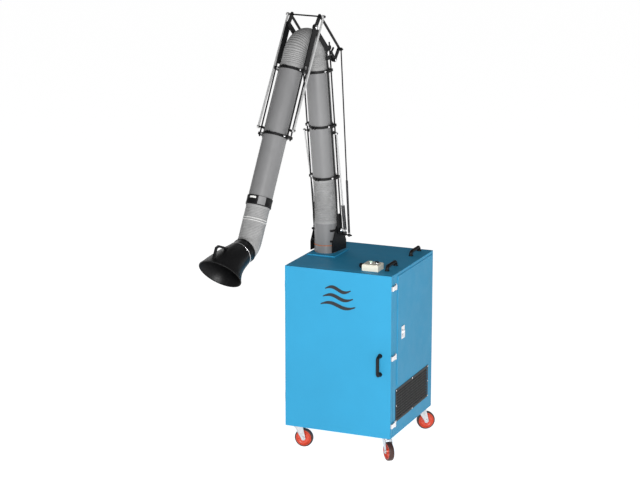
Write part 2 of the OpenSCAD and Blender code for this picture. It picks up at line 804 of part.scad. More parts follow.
// ---- Hood ----
module hood_hose() {
  straight = hood_pivot_z - hood_tangent - outer_tube_z[1];
  color(grey) outer_frame_of() {
    translate([0, 0, -outer_tube_z[1] - straight]) tube(duct_r, bore_r, straight);
    translate([0, 0, -outer_tube_z[1] - straight]) mirror([0, 0, 1]) hose_bend(hood_bend, hood_turn);
  }
}
// Frame at the start of the neck, with +Z pointing out of the hood
module neck_frame_of() {
  arm() at(neck_from) rotate([90 + neck_drop, 0, 0]) children();
}
module hood_joint() {
  color(black) neck_frame_of() {
    translate([0, 0, slit]) tube(duct_r + 4, duct_r - 1, 8 - slit);
    translate([0, 0, 8]) tube(spigot_r, spigot_r - 2, 20);
    translate([0, 0, 7]) tube(duct_r - 0.9, spigot_r - 2, 1);
    both_sides() on_edge(3, 3) difference() {
      strap_2d([0, -hood_tangent], [0, 4], 16);
      translate([0, -hood_tangent]) circle(r = 4 + pin_play);
    }
    both_sides() box([3, -8, 0], [60, 8, 4]);
  }
}
module rim_disc(r, h) {
  arm() at(rim_at) rotate([90 + mouth_drop, 0, 0]) cylinder(r = r, h = h, $fn = 64);
}
// The space inside the hood's outer surface
module hood_outside() {
  hull() {
    neck_frame_of() translate([0, 0, neck_len + 4]) cylinder(r = duct_r + 4, h = 1, $fn = 64);
    rim_disc(rim_r, 2);
  }
}
module hood() {
  color(black) {
    difference() {
      hood_outside();
      hull() {
        neck_frame_of() translate([0, 0, neck_len + 2]) cylinder(r = duct_r + 1, h = 1, $fn = 64);
        rim_disc(rim_r - 3, 4);
      }
    }
    neck_frame_of() translate([0, 0, 8.2]) tube(duct_r + 2.8, spigot_r + pin_play, neck_len - 2.7);
  }
}
// A loop whose two legs end on the hood's outer surface
module hood_handle() {
  outline = [[-56, -45], [-50, 14], [-30, 28], [30, 28], [50, 14], [56, -45]];
  opening = [[-45, -46], [-40, 9], [-26, 17], [26, 17], [40, 9], [45, -46]];
  color(black) difference() {
    arm() at([970, 203]) rotate([neck_drop - 35, 0, 0]) on_edge(-6, 12) difference() {
      polygon(outline);
      polygon(opening);
    }
    hood_outside();
  }
}

cabinet_body();
top_panel();
side_panel();
filter_shelf();
prefilter();
main_filter();
fan_scroll();
fan_motor();
fan_impeller();
outlet_grille();
grille_screws();
arm_base_plate();
inlet_duct();
swivel_seal();
switch_box();
cable_gland();
start_button();
stop_button();
top_handles();
door_gasket();
hinge_pins();
latch_bases();
latch_top();
latch_middle();
latch_bottom();
panel_lock();
door_panel();
door_fittings();
door_handle();
caster_plates();
fork_front_left();
fork_front_right();
fork_rear_left();
fork_rear_right();
wheel_front_left();
wheel_front_right();
wheel_rear_left();
wheel_rear_right();
turret_collar();
turret_frame();
shoulder_hose();
lower_tube();
lower_frame();
lower_clamps();
balance_springs();
elbow_hose();
outer_tube();
outer_frame();
outer_clamps();
elbow_crossbar();
stay_rods();
hose_cuff();
rocker();
top_links();
rear_rod();
rear_spring();
hood_hose();
hood_joint();
hood();
hood_handle();
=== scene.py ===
"""Looks of the mobile fume extractor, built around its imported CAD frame. Metres, +Z up, door towards -Y."""
import json
import math

import bmesh
import bpy
from mathutils import Matrix, Vector, noise


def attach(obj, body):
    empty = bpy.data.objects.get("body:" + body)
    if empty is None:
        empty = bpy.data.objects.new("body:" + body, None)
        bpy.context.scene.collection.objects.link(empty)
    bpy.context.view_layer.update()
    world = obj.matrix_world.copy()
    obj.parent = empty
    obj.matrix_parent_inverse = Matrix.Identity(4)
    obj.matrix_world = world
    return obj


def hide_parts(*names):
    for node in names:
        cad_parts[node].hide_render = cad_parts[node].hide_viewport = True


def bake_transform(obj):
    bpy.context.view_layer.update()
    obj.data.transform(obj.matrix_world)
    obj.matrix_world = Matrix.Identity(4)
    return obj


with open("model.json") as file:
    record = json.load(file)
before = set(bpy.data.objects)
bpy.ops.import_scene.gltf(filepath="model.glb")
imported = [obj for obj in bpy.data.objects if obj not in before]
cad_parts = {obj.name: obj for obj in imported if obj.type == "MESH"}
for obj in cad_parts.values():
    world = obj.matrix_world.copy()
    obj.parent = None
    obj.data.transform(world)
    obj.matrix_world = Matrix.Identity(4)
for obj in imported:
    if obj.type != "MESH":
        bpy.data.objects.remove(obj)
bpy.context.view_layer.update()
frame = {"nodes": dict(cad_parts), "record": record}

RECORD = frame["record"]
NODE_BODY = {n: b for b, ns in RECORD["behaviour"]["bodies"].items() for n in ns}
NODE_SLOT = {s["node"]: s["material_slot"] for s in RECORD["subparts"]}

# ------------------------------------------------------------------ the arm's plane
ARM_BASE = Vector((-0.218, 0.050, 1.008))
ARM_TURN = math.radians(9.6)
FORWARD = Vector((-math.sin(ARM_TURN), -math.cos(ARM_TURN), 0))
SIDE = Vector((math.cos(ARM_TURN), -math.sin(ARM_TURN), 0))
UP = Vector((0, 0, 1))
LOWER_LEAN = math.radians(7)
OUTER_LEAN = math.radians(25)
NECK_DROP = math.radians(15)
MOUTH_DROP = math.radians(44)
DUCT_R = 0.0625
# Stations along the lower arm, from the shoulder, and along the outer arm, from the elbow
LOWER_RINGS = (0.295, 0.580, 0.880)
OUTER_RINGS = (0.237, 0.589)
OUTER_TUBE_END = 0.965
CUFF_TOP = 0.917
PALE_RINGS = (1.033, 1.045)
SHOULDER_BEND = 0.500
SHOULDER = (-0.020, 0.127)
ELBOW = (0.233, 1.244)
LOWER_DIR = (math.sin(LOWER_LEAN), math.cos(LOWER_LEAN))
OUTER_DIR = (math.sin(OUTER_LEAN), -math.cos(OUTER_LEAN))
NECK_DIR = (math.cos(NECK_DROP), -math.sin(NECK_DROP))


def arm(u, v, x=0.0):
    """A point of the arm: u forward, v above the cabinet top, x to the arm's right."""
    return ARM_BASE + FORWARD * u + UP * v + SIDE * x


def heading(d):
    """A direction in the arm's plane, as a vector of the row frame."""
    return (FORWARD * d[0] + UP * d[1]).normalized()


def on_lower(s, fwd=0.0, x=0.0):
    n = (LOWER_DIR[1], -LOWER_DIR[0])
    return arm(SHOULDER[0] + s * LOWER_DIR[0] + fwd * n[0], SHOULDER[1] + s * LOWER_DIR[1] + fwd * n[1], x)


def on_outer(s, fwd=0.0, x=0.0):
    n = (-OUTER_DIR[1], OUTER_DIR[0])
    return arm(ELBOW[0] + s * OUTER_DIR[0] + fwd * n[0], ELBOW[1] + s * OUTER_DIR[1] + fwd * n[1], x)


# ------------------------------------------------------------------ materials
def lin(r, g, b):
    """sRGB 0..255 to linear."""
    return tuple(c / 12.92 if c <= 0.04045 else ((c + 0.055) / 1.055) ** 2.4 for c in (r / 255, g / 255,
        b / 255))


def material(name, color, rough, metallic=0.0, vary=0.10, vary_scale=9.0, rough_vary=0.08, bump=0.02,
             bump_scale=900.0, coat=0.0, dust=0.0, stretch=(1, 1, 1), specular=0.5, blotch=0.0):
    """A principled material whose colour, roughness and bump come from object-space noise."""
    m = bpy.data.materials.new(name)
    m.use_nodes = True
    nt = m.node_tree
    for n in list(nt.nodes):
        nt.nodes.remove(n)
    out = nt.nodes.new("ShaderNodeOutputMaterial")
    bsdf = nt.nodes.new("ShaderNodeBsdfPrincipled")
    nt.links.new(bsdf.outputs[0], out.inputs[0])
    coord = nt.nodes.new("ShaderNodeTexCoord")
    mapping = nt.nodes.new("ShaderNodeMapping")
    mapping.inputs["Scale"].default_value = stretch
    nt.links.new(coord.outputs["Object"], mapping.inputs["Vector"])

    def field(scale, detail, rough_):
        n = nt.nodes.new("ShaderNodeTexNoise")
        n.inputs["Scale"].default_value = scale
        n.inputs["Detail"].default_value = detail
        n.inputs["Roughness"].default_value = rough_
        nt.links.new(mapping.outputs[0], n.inputs["Vector"])
        return n.outputs["Fac"]

    big = field(vary_scale, 4, 0.6)
    ramp = nt.nodes.new("ShaderNodeValToRGB")
    ramp.color_ramp.elements[0].position = 0.30
    ramp.color_ramp.elements[1].position = 0.70
    ramp.color_ramp.elements[0].color = [c * (1 - vary) for c in color] + [1]
    ramp.color_ramp.elements[1].color = [min(1, c * (1 + vary)) for c in color] + [1]
    nt.links.new(big, ramp.inputs[0])
    tint = ramp.outputs[0]
    if dust:
        speck = field(vary_scale * 7, 6, 0.7)
        ramp2 = nt.nodes.new("ShaderNodeValToRGB")
        ramp2.color_ramp.elements[0].position = 0.50
        ramp2.color_ramp.elements[1].position = 0.78
        ramp2.color_ramp.elements[0].color = (0, 0, 0, 1)
        ramp2.color_ramp.elements[1].color = (dust, dust, dust, 1)
        nt.links.new(speck, ramp2.inputs[0])
        mix = nt.nodes.new("ShaderNodeMix")
        mix.data_type = "RGBA"
        nt.links.new(ramp2.outputs[0], mix.inputs[0])
        nt.links.new(tint, mix.inputs[6])
        mix.inputs[7].default_value = (0.42, 0.41, 0.39, 1)
        tint = mix.outputs[2]
    nt.links.new(tint, bsdf.inputs["Base Color"])
    fine = field(vary_scale * 5, 5, 0.6)
    span = nt.nodes.new("ShaderNodeMapRange")
    span.inputs["From Min"].default_value = 0.3
    span.inputs["From Max"].default_value = 0.7
    span.inputs["To Min"].default_value = max(0.02, rough - rough_vary)
    span.inputs["To Max"].default_value = min(1.0, rough + rough_vary)
    nt.links.new(fine, span.inputs["Value"])
    nt.links.new(span.outputs[0], bsdf.inputs["Roughness"])
    if bump:
        grain = field(bump_scale, 3, 0.55)
        b = nt.nodes.new("ShaderNodeBump")
        b.inputs["Strength"].default_value = bump
        b.inputs["Distance"].default_value = 0.0006
        nt.links.new(grain, b.inputs["Height"])
        nt.links.new(b.outputs[0], bsdf.inputs["Normal"])
    bsdf.inputs["Metallic"].default_value = metallic
    bsdf.inputs["Specular IOR Level"].default_value = specular
    bsdf.inputs["Coat Weight"].default_value = coat
    bsdf.inputs["Coat Roughness"].default_value = 0.25
    return m


BLUE = material("blue_powder_coat", (0.028, 0.285, 0.500), 0.50, vary=0.035, vary_scale=3.0, rough_vary=0.05,
                bump=0.22, bump_scale=620, specular=0.2)
BLACK = material("black_powder_coat", (0.006, 0.006, 0.0065), 0.46, vary=0.25, vary_scale=30, bump=0.2,
    bump_scale=700,
                 dust=0.02, specular=0.2)
BLACK_PLASTIC = material("black_plastic", (0.006, 0.006, 0.0065), 0.42, vary=0.2, vary_scale=20, bump=0.18,
                         bump_scale=1100, dust=0.01, specular=0.2)
HOOD_BLACK = material("hood_black", (0.005, 0.005, 0.0055), 0.40, vary=0.3, vary_scale=16, bump=0.14,
                      bump_scale=1500, dust=0.012, specular=0.2)
TUBE_GREY = material("grey_duct_paint", (0.185, 0.185, 0.188), 0.34, vary=0.07, vary_scale=7, rough_vary=0.07,
                     bump=0.10, bump_scale=500, stretch=(1, 1, 0.35))
HOSE_GREY = material("grey_hose_fabric", (0.26, 0.26, 0.26), 0.62, vary=0.14, vary_scale=26, rough_vary=0.1,
                     bump=0.5, bump_scale=850, dust=0.05)
HOSE_PALE = material("pale_hose_band", (0.62, 0.62, 0.61), 0.5, vary=0.06, vary_scale=40, bump=0.2,
    bump_scale=900)
SEAL_ORANGE = material("orange_ring_rubber", lin(176, 98, 52), 0.6, vary=0.18, vary_scale=60, bump=0.3,
    bump_scale=900)
GASKET = material("gasket_foam", (0.018, 0.018, 0.018), 0.85, vary=0.2, vary_scale=80, bump=0.6,
    bump_scale=1400)
IVORY = material("ivory_plastic", lin(226, 222, 206), 0.38, vary=0.05, vary_scale=25, bump=0.1,
    bump_scale=1000)
GREEN_CAP = material("pale_green_cap", lin(196, 224, 204), 0.3, vary=0.06, vary_scale=60, bump=0.08,
    bump_scale=900)
ZINC = material("zinc_plate", (0.60, 0.60, 0.61), 0.30, metallic=0.9, vary=0.14, vary_scale=60,
    rough_vary=0.12,
                bump=0.08, bump_scale=500)
CHROME = material("bright_plate", (0.80, 0.80, 0.81), 0.20, metallic=0.85, vary=0.08, vary_scale=50,
    rough_vary=0.08,
                  bump=0.04, bump_scale=400)
SILVER_ROD = material("bright_rod", (0.52, 0.52, 0.52), 0.34, metallic=0.35, vary=0.10, vary_scale=35,
    rough_vary=0.1,
                      bump=0.1, bump_scale=300, stretch=(1, 1, 0.1))
SPRING = material("spring_steel", (0.10, 0.10, 0.105), 0.34, metallic=0.8, vary=0.2, vary_scale=90, bump=0.1,
                  bump_scale=700)
WHEEL_RED = material("orange_red_hub", lin(196, 62, 34), 0.38, vary=0.10, vary_scale=40, bump=0.12,
    bump_scale=700,
                     dust=0.05, coat=0.2)
TYRE = material("dark_tread", lin(58, 30, 25), 0.55, vary=0.2, vary_scale=60, bump=0.3, bump_scale=600,
    dust=0.12)
MEDIA = material("filter_media", (0.66, 0.65, 0.61), 0.9, vary=0.12, vary_scale=60, bump=0.8, bump_scale=900)
CARD = material("filter_frame", (0.50, 0.44, 0.34), 0.8, vary=0.12, vary_scale=30, bump=0.3, bump_scale=500)
MARK = material("mark_ink", (0.008, 0.010, 0.014), 0.5, vary=0.2, vary_scale=80, bump=0.05, bump_scale=900)
LABEL = material("blank_label", (0.72, 0.72, 0.70), 0.5, vary=0.05, vary_scale=60, bump=0.05, bump_scale=900)
SLOT_MATERIAL = {
    "blue_paint": BLUE, "zinc_steel": ZINC, "filter_media": MEDIA, "black_paint": BLACK,
        "seal_rubber": GASKET,
    "ring_rubber": SEAL_ORANGE, "ivory_plastic": IVORY, "black_plastic": BLACK_PLASTIC,
    "bright_metal": CHROME,
    "wheel_plastic": WHEEL_RED, "grey_hose": HOSE_GREY, "grey_tube": TUBE_GREY, "spring_steel": SPRING,
}


# ------------------------------------------------------------------ mesh helpers
def new_object(name, verts, faces, mats, face_mats=None, smooth=True):
    mesh = bpy.data.meshes.new(name)
    mesh.from_pydata([tuple(v) for v in verts], [], faces)
    mesh.validate()
    for m in (mats if isinstance(mats, (list, tuple)) else [mats]):
        mesh.materials.append(m)
    if face_mats:
        for p, i in zip(mesh.polygons, face_mats):
            p.material_index = i
    bm = bmesh.new()
    bm.from_mesh(mesh)
    bmesh.ops.recalc_face_normals(bm, faces=bm.faces)
    bm.to_mesh(mesh)
    bm.free()
    mesh.polygons.foreach_set("use_smooth", [smooth] * len(mesh.polygons))
    o = bpy.data.objects.new(name, mesh)
    bpy.context.scene.collection.objects.link(o)
    return o


def sharpen(o, degrees=35):
    """Marks edges sharper than the angle as sharp, so that flat faces stay flat."""
    bm = bmesh.new()
    bm.from_mesh(o.data)
    limit = math.radians(degrees)
    for e in bm.edges:
        e.smooth = not (len(e.link_faces) == 2 and e.calc_face_angle(0) > limit)
    bm.to_mesh(o.data)
    bm.free()
    return o


def settle(o, body, slot, *nodes):
    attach(o, body)
    if nodes:
        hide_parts(*nodes)
    return o


def frames(points):
    """Rotation-minimising frames along a polyline: (tangent, normal, binormal) at each point."""
    n = len(points)
    tangents = [(points[min(i + 1, n - 1)] - points[max(i - 1, 0)]).normalized() for i in range(n)]
    start = tangents[0].orthogonal().normalized()
    rows = []
    for t in tangents:
        start = (start - t * start.dot(t)).normalized()
        rows.append((t, start, t.cross(start)))
    return rows


def sweep(name, points, radius, mats, sides=10, side_axis=None, caps=True, face_mats=None):
    """A tube along points. radius is a number or a function of (index, angle)."""
    rows = frames(points)
    verts, faces = [], []
    for i, (p, (t, n, b)) in enumerate(zip(points, rows)):
        if side_axis is not None:
            n = side_axis
            b = t.cross(n)
        for k in range(sides):
            a = 2 * math.pi * k / sides
            r = radius(i, a) if callable(radius) else radius
            verts.append(p + (n * math.cos(a) + b * math.sin(a)) * r)
    for i in range(len(points) - 1):
        for k in range(sides):
            j = (k + 1) % sides
            faces.append((i * sides + k, i * sides + j, (i + 1) * sides + j, (i + 1) * sides + k))
    if caps:
        faces.append(tuple(reversed(range(sides))))
        faces.append(tuple((len(points) - 1) * sides + k for k in range(sides)))
    return new_object(name, verts, faces, mats, face_mats)


def lathe(name, profile, place, mats, segs=64, closed=True, face_mats=None):
    """Turns a profile of (r, z) points round the local Z axis of the matrix place."""
    verts, faces, tags = [], [], []
    n = len(profile)
    for k in range(segs):
        a = 2 * math.pi * k / segs
        for r, z in profile:
            verts.append(place @ Vector((r * math.cos(a), r * math.sin(a), z)))
    for k in range(segs):
        j = (k + 1) % segs
        for i in range(n if closed else n - 1):
            m = (i + 1) % n
            faces.append((k * n + i, k * n + m, j * n + m, j * n + i))
            tags.append(face_mats[i] if face_mats else 0)
    return new_object(name, verts, faces, mats, tags)


def axes(origin, z, x=None):
    """A matrix with its Z along z and, if given, its X near x."""
    z = z.normalized()
    x = (x - z * x.dot(z)).normalized() if x is not None else z.orthogonal().normalized()
    y = z.cross(x)
    m = Matrix((x, y, z)).transposed().to_4x4()
    m.translation = origin
    return m


def rounded_box(bm, lo, hi, bevel, place=None):
    """Adds a box with rounded edges to bm."""
    size = Vector(hi) - Vector(lo)
    made = bmesh.ops.create_cube(bm, size=1.0)["verts"]
    bmesh.ops.scale(bm, vec=size, verts=made)
    bmesh.ops.translate(bm, vec=(Vector(lo) + Vector(hi)) / 2, verts=made)
    edges = list({e for v in made for e in v.link_edges})
    out = bmesh.ops.bevel(bm, geom=edges + made, offset=min(bevel, min(size) * 0.49), segments=3,
        affect="EDGES",
                          profile=0.5)
    verts = list({v for f in out["faces"] for v in f.verts} | {v for v in made if v.is_valid})
    verts = list({v for v in verts if v.is_valid} | {w for v in verts if v.is_valid for f in v.link_faces
                                                    for w in f.verts})
    if place is not None:
        bmesh.ops.transform(bm, matrix=place, verts=verts)
    return verts


def finish_bm(name, bm, mat, body, slot, *nodes, smooth=True):
    mesh = bpy.data.meshes.new(name)
    bmesh.ops.recalc_face_normals(bm, faces=bm.faces)
    bm.to_mesh(mesh)
    bm.free()
    mesh.materials.append(mat)
    mesh.polygons.foreach_set("use_smooth", [smooth] * len(mesh.polygons))
    o = bpy.data.objects.new(name, mesh)
    bpy.context.scene.collection.objects.link(o)
    sharpen(o, 40)
    return settle(o, body, slot, *nodes)


def soften(node, mat=None, width=0.0008, segments=2, angle=35, split=None):
    """A copy of a CAD node's mesh with its flat faces made whole and its hard edges rounded, standing for the node."""
    src = frame["nodes"][node]
    bm = bmesh.new()
    bm.from_mesh(src.data)
    bmesh.ops.transform(bm, matrix=src.matrix_world, verts=bm.verts)
    bmesh.ops.remove_doubles(bm, verts=bm.verts, dist=1e-6)
    bmesh.ops.dissolve_limit(bm, angle_limit=math.radians(0.6), verts=bm.verts, edges=bm.edges)
    hard = [e for e in bm.edges if len(e.link_faces) == 2 and e.calc_face_angle(0) > math.radians(angle)]
    if width and hard:
        bmesh.ops.bevel(bm, geom=hard, offset=width, segments=segments, affect="EDGES", profile=0.5,
                        clamp_overlap=True)
    mesh = bpy.data.meshes.new(node + "_shell")
    bm.to_mesh(mesh)
    bm.free()
    mesh.materials.append(mat or SLOT_MATERIAL[NODE_SLOT[node]])
    mesh.polygons.foreach_set("use_smooth", [True] * len(mesh.polygons))
    o = bpy.data.objects.new(node + "_shell", mesh)
    bpy.context.scene.collection.objects.link(o)
    sharpen(o, 38)
    weighted = o.modifiers.new("weighted", "WEIGHTED_NORMAL")
    weighted.keep_sharp = True
    return settle(o, NODE_BODY[node], NODE_SLOT[node], node)


def repaint(node, mat=None):
    """Puts a material on a CAD node that is shown as it is."""
    o = frame["nodes"][node]
    for s in o.material_slots:
        s.link = "OBJECT"
        s.material = mat or SLOT_MATERIAL[NODE_SLOT[node]]


for n in frame["nodes"]:
    repaint(n)
repaint("inlet_duct", TUBE_GREY)


# ------------------------------------------------------------------ sheet metal and fittings
for n in ("cabinet_body", "door_panel"):
    soften(n, width=0.0022, segments=3)
for n in ("top_panel", "side_panel"):
    soften(n, width=0.0006)
soften("arm_base_plate", width=0.0012)
for n in ("door_fittings", "latch_bases", "latch_top", "latch_middle", "latch_bottom", "panel_lock",
    "hinge_pins",
          "caster_plates", "outlet_grille", "grille_screws"):
    soften(n, width=0.0005)
for i in ("front_left", "front_right", "rear_left", "rear_right"):
    soften("fork_" + i, width=0.0006)
for n in ("turret_frame", "lower_frame", "outer_frame", "lower_clamps", "outer_clamps", "rocker", "top_links",
          "elbow_crossbar"):
    soften(n, width=0.0007)
soften("stay_rods", SILVER_ROD, width=0.0006)
soften("cable_gland", width=0.0008)
soften("top_handles", width=0.0009)
soften("door_handle", width=0.0009)
soften("hood_handle", width=0.0022, segments=3)
soften("hood_joint", width=0.0004)
soften("switch_box", width=0.0018, segments=3)
soften("start_button", GREEN_CAP, width=0.0014, segments=3)
soften("stop_button", width=0.0014, segments=3)
soften("prefilter", MEDIA, width=0.0006)
soften("main_filter", CARD, width=0.001)


# ------------------------------------------------------------------ hoses
def hose_path(parts, step):
    """Points of straight and curved stretches in the arm's plane, each (start, direction, length, radius, turn sign)."""
    points = []
    for p, d, length, radius, sign in parts:
        n = max(2, int(round(length / step)))
        for k in range(n):
            s = length * k / n
            if radius is None:
                points.append((p[0] + d[0] * s, p[1] + d[1] * s))
            else:
                a = s / radius
                nx, nv = (d[1] * sign, -d[0] * sign)
                points.append((p[0] + radius * (d[0] * math.sin(a) + nx * (1 - math.cos(a))),
                               p[1] + radius * (d[1] * math.sin(a) + nv * (1 - math.cos(a)))))
    return points


def turned(d, angle, sign):
    """Direction d after turning by angle towards its right (sign 1, downwards when heading forward)."""
    a = -angle * sign
    return (d[0] * math.cos(a) - d[1] * math.sin(a), d[0] * math.sin(a) + d[1] * math.cos(a))


def ribbed_hose(name, parts, pitch, depth, crumple, cuffs, seed):
    """A wire-ribbed hose with a real wall: ribs stand proud at each pitch, and the cloth sags between them."""
    per = 8
    plane = hose_path(parts, pitch / per)
    points = [arm(u, v) for u, v in plane]
    total = len(points)
    wall = 0.0013
    sides = 72

    def outer(i, a):
        s = i / per
        edge = min(i, total - 1 - i) * pitch / per
        calm = min(1.0, max(0.0, (edge - cuffs) / pitch))
        wave = 0.5 - 0.5 * math.cos(2 * math.pi * s)
        sag = wave ** 0.75
        q = Vector((math.cos(a) * 2.2, math.sin(a) * 2.2, s * 0.55 + seed))
        ripple = noise.noise(q * 2.1) * crumple
        return DUCT_R - 0.0002 - calm * (depth * sag + abs(ripple)) + (0 if calm else -0.0002)

    rows = frames(points)
    verts, faces = [], []
    for layer in (0, 1):
        for i, (p, (t, n, b)) in enumerate(zip(points, rows)):
            b = t.cross(SIDE)
            for k in range(sides):
                a = 2 * math.pi * k / sides
                r = outer(i, a) - layer * wall
                verts.append(p + (SIDE * math.cos(a) + b * math.sin(a)) * r)
    base = total * sides
    for layer in (0, 1):
        for i in range(total - 1):
            for k in range(sides):
                j = (k + 1) % sides
                q = [i * sides + k, i * sides + j, (i + 1) * sides + j, (i + 1) * sides + k]
                if layer:
                    q = [c + base for c in reversed(q)]
                faces.append(tuple(q))
    for i in (0, total - 1):
        for k in range(sides):
            j = (k + 1) % sides
            q = (i * sides + k, base + i * sides + k, base + i * sides + j, i * sides + j)
            faces.append(q if i == 0 else tuple(reversed(q)))
    return new_object(name, verts, faces, HOSE_GREY)


# shoulder hose: straight up from the collar, then a slight lean
knee_v = SHOULDER[1] - SHOULDER[0] / math.tan(LOWER_LEAN)
tangent = SHOULDER_BEND * math.tan(LOWER_LEAN / 2)
collar_top = 0.165
start_lower = math.hypot(SHOULDER[0], knee_v - SHOULDER[1]) + tangent
end_dir = turned((0, 1), LOWER_LEAN, 1)
bend_end = (SHOULDER[0] + start_lower * LOWER_DIR[0], SHOULDER[1] + start_lower * LOWER_DIR[1])
shoulder = ribbed_hose("shoulder_hose_ribbed", [
    ((0, collar_top), (0, 1), knee_v - tangent - collar_top, None, 1),
    ((0, knee_v - tangent), (0, 1), SHOULDER_BEND * LOWER_LEAN, SHOULDER_BEND, 1),
    (bend_end, end_dir, 0.288 - start_lower, None, 1),
], 0.0094, 0.0026, 0.0005, 0.008, 3.1)
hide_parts("shoulder_hose")
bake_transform(shoulder)

# elbow hose: straight, a long bend over the top, straight
ELBOW_BEND = 0.105
top_lower = (SHOULDER[0] + 0.887 * LOWER_DIR[0], SHOULDER[1] + 0.887 * LOWER_DIR[1])
top_outer = (ELBOW[0] + 0.230 * OUTER_DIR[0], ELBOW[1] + 0.230 * OUTER_DIR[1])
step_uv = (ELBOW_BEND * (math.cos(LOWER_LEAN) + math.cos(OUTER_LEAN)),
           ELBOW_BEND * (math.sin(OUTER_LEAN) - math.sin(LOWER_LEAN)))
rest = (top_outer[0] - top_lower[0] - step_uv[0], top_outer[1] - top_lower[1] - step_uv[1])
det = LOWER_DIR[0] * OUTER_DIR[1] - LOWER_DIR[1] * OUTER_DIR[0]
run_a = (rest[0] * OUTER_DIR[1] - rest[1] * OUTER_DIR[0]) / det
run_b = (LOWER_DIR[0] * rest[1] - LOWER_DIR[1] * rest[0]) / det
bend_from = (top_lower[0] + run_a * LOWER_DIR[0], top_lower[1] + run_a * LOWER_DIR[1])
bend_to = (top_outer[0] - run_b * OUTER_DIR[0], top_outer[1] - run_b * OUTER_DIR[1])
elbow_turn = math.pi - LOWER_LEAN - OUTER_LEAN
elbow = ribbed_hose("elbow_hose_ribbed", [
    (top_lower, LOWER_DIR, run_a, None, 1),
    (bend_from, LOWER_DIR, ELBOW_BEND * elbow_turn, ELBOW_BEND, 1),
    (bend_to, OUTER_DIR, run_b + 0.0001, None, 1),
], 0.0098, 0.0026, 0.0006, 0.012, 8.7)
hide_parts("elbow_hose")
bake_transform(elbow)

# hood hose
HOOD_BEND = 0.080
hood_turn = math.pi / 2 - OUTER_LEAN - NECK_DROP
hood_tangent = HOOD_BEND * math.tan(hood_turn / 2)
PIVOT_S = 1.178
pivot_uv = (ELBOW[0] + PIVOT_S * OUTER_DIR[0], ELBOW[1] + PIVOT_S * OUTER_DIR[1])
cuff_end = (ELBOW[0] + OUTER_TUBE_END * OUTER_DIR[0], ELBOW[1] + OUTER_TUBE_END * OUTER_DIR[1])
bend_start = (ELBOW[0] + (PIVOT_S - hood_tangent) * OUTER_DIR[0],
    ELBOW[1] + (PIVOT_S - hood_tangent) * OUTER_DIR[1])
hood_hose = ribbed_hose("hood_hose_ribbed", [
    (cuff_end, OUTER_DIR, PIVOT_S - hood_tangent - OUTER_TUBE_END, None, 1),
    (bend_start, OUTER_DIR, HOOD_BEND * hood_turn, HOOD_BEND, -1),
], 0.0078, 0.0021, 0.0006, 0.004, 5.3)
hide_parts("hood_hose")
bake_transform(hood_hose)

# two pale rings near the top of the hood hose
outer_axis = heading(OUTER_DIR)
for k, s in enumerate(PALE_RINGS):
    ring = lathe(f"hood_hose_band_{k + 1}", [(0.0600, -0.0018), (0.0628, -0.0018), (0.0634, 0), (0.0628,
        0.0018),
                                            (0.0600, 0.0018)], axes(on_outer(s), outer_axis, SIDE), HOSE_PALE)
    settle(ring, "outer_arm", "grey_hose")

# ------------------------------------------------------------------ hood
neck_axis = heading(NECK_DIR)
mouth_axis = heading((math.cos(MOUTH_DROP), -math.sin(MOUTH_DROP)))
neck_from = arm(*[pivot_uv[i] + hood_tangent * NECK_DIR[i] for i in (0, 1)])
RIM = arm(0.978, 0.090)
RIM_R = 0.116


def hood_shell():
    stations, sides = 34, 96
    p0 = neck_from + neck_axis * 0.040
    p2 = RIM + mouth_axis * 0.002
    reach = (p2 - p0).length
    p1 = p0 + neck_axis * reach * 0.36
    p1b = p2 - mouth_axis * reach * 0.30
    verts, faces = [], []

    def ring(t, inset):
        q = ((1 - t) ** 3) * p0 + 3 * ((1 - t) ** 2) * t * p1 + 3 * (1 - t) * t * t * p1b + (t ** 3) * p2
        blend = t * t * (3 - 2 * t)
        axis = (neck_axis * (1 - blend) + mouth_axis * blend).normalized()
        b = axis.cross(SIDE)
        r = 0.0664 + (RIM_R - 0.0664) * (0.62 * t + 0.38 * t ** 2.6) - inset
        return [q + (SIDE * math.cos(2 * math.pi * k / sides) + b * math.sin(2 * math.pi * k / sides)) * r
                for k in range(sides)]

    loops = [ring(i / stations, 0) for i in range(stations + 1)]
    loops += [ring(i / stations, 0.0026) for i in range(stations, -1, -1)]
    for loop in loops:
        verts += loop
    n = len(loops)
    for i in range(n):
        m = (i + 1) % n
        for k in range(sides):
            j = (k + 1) % sides
            faces.append((i * sides + k, i * sides + j, m * sides + j, m * sides + k))
    return new_object("hood_cone", verts, faces, HOOD_BLACK)


hood = sharpen(hood_shell(), 50)
settle(hood, "hood", "black_plastic", "hood")
neck = lathe("hood_neck", [(0.0603, 0.0084), (0.0646, 0.0084), (0.0655, 0.0095), (0.0655, 0.0385), (0.0672,
    0.0405),
                           (0.0672, 0.0430), (0.0640, 0.0435), (0.0603, 0.0415)],
             axes(neck_from, neck_axis, SIDE), HOOD_BLACK, segs=96)
sharpen(neck, 40)
settle(neck, "hood", "black_plastic")
seam = lathe("hood_seam", [(0.0650, 0.0448), (0.0684, 0.0452), (0.0688, 0.0462), (0.0684, 0.0472), (0.0650,
    0.0476)],
             axes(neck_from, neck_axis, SIDE), CHROME, segs=96)
settle(seam, "hood", "black_plastic")
lip = lathe("hood_rim", [(RIM_R - 0.0024 + 0.0024 * math.cos(a), 0.0004 + 0.0024 * math.sin(a))
                         for a in [2 * math.pi * k / 10 for k in range(10)]], axes(RIM, mouth_axis, SIDE),
                             HOOD_BLACK,
            segs=96)
settle(lip, "hood", "black_plastic")

